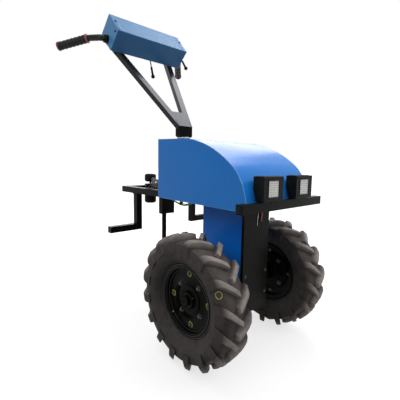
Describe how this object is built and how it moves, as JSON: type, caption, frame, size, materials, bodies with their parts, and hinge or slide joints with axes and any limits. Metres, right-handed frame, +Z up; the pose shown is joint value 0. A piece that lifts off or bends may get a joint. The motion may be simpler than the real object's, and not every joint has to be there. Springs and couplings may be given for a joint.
{
  "type": "battery power weeder",
  "caption": "Two-wheeled walk-behind battery weeder with lugged tyres, a hood over the battery, lamps, a swivelling handlebar with control box and a rear stake to stand on.",
  "frame": {"origin": "on the ground, midway between the two tyres, under the axle", "axes": "+X to the machine's left, -Y to its front where the lamps are, +Z up"},
  "size_m": [0.7024, 0.9974, 1.2695],
  "materials": {
    "frame_paint": "black gloss paint",
    "hood_paint": "blue gloss paint",
    "housing_paint": "deep blue gloss paint",
    "case_iron": "black painted casting",
    "battery_case": "dark plastic",
    "lamp_black": "black plastic",
    "lamp_lens": "pale light panel",
    "knob_black": "black plastic",
    "tyre": "dark rubber",
    "rim_paint": "black paint",
    "hub_paint": "black paint",
    "grip_rubber": "black ribbed rubber",
    "ring_red": "dark red plastic",
    "handle_paint": "black gloss paint",
    "box_paint": "blue gloss paint"
  },
  "bodies": {
    "chassis": {"side_rail_left": "frame_paint", "side_rail_right": "frame_paint", "cross_rail_front": "frame_paint", "cross_rail_centre": "frame_paint", "cross_rail_post": "frame_paint", "cross_rail_middle": "frame_paint", "cross_rail_rear": "frame_paint", "bumper": "frame_paint", "battery_tray": "frame_paint", "battery_pack": "battery_case", "hood_wrap": "hood_paint", "hood_side_left": "hood_paint", "hood_side_right": "hood_paint", "hood_back": "hood_paint", "lamp_housing_left": "lamp_black", "lamp_housing_right": "lamp_black", "lamp_panel_left": "lamp_lens", "lamp_panel_right": "lamp_lens", "front_post": "frame_paint", "drive_housing": "housing_paint", "gear_case": "case_iron", "axle_tube_left": "case_iron", "axle_tube_right": "case_iron", "side_bracket_left": "frame_paint", "side_bracket_right": "frame_paint", "stake_sleeve": "frame_paint", "hitch_sleeve": "frame_paint", "rear_knob": "knob_black", "rear_lever": "frame_paint", "handle_post": "frame_paint"},
    "wheel_left": {"tyre_left": "tyre", "rim_left": "rim_paint", "hub_left": "hub_paint"},
    "wheel_right": {"tyre_right": "tyre", "rim_right": "rim_paint", "hub_right": "hub_paint"},
    "handlebar": {"handle_stem": "handle_paint", "handle_arm_left": "handle_paint", "handle_arm_right": "handle_paint", "handle_gusset": "handle_paint", "control_box": "box_paint", "box_end_left": "box_paint", "box_end_right": "box_paint", "handle_tube_left": "handle_paint", "handle_tube_right": "handle_paint", "grip_left": "grip_rubber", "grip_right": "grip_rubber", "grip_rings_left": "ring_red", "grip_rings_right": "ring_red", "control_lever_centre": "knob_black", "control_lever_end": "knob_black"},
    "stake": {"stake_rod": "frame_paint"}
  },
  "joints": [
    {"name": "wheel_left_spin", "type": "hinge", "parent": "chassis", "child": "wheel_left", "pos_m": [0.218, 0, 0.215], "axis": [1, 0, 0], "continuous": true},
    {"name": "wheel_right_spin", "type": "hinge", "parent": "chassis", "child": "wheel_right", "pos_m": [-0.218, 0, 0.215], "axis": [1, 0, 0], "continuous": true},
    {"name": "handlebar_swivel", "type": "hinge", "parent": "chassis", "child": "handlebar", "pos_m": [0, 0.309, 0.748], "axis": [0, 0, 1], "range_deg": [-30, 30]},
    {"name": "stake_slide", "type": "slide", "parent": "chassis", "child": "stake", "axis": [0, 0, 1], "range_m": [0, 0.26]}
  ]
}
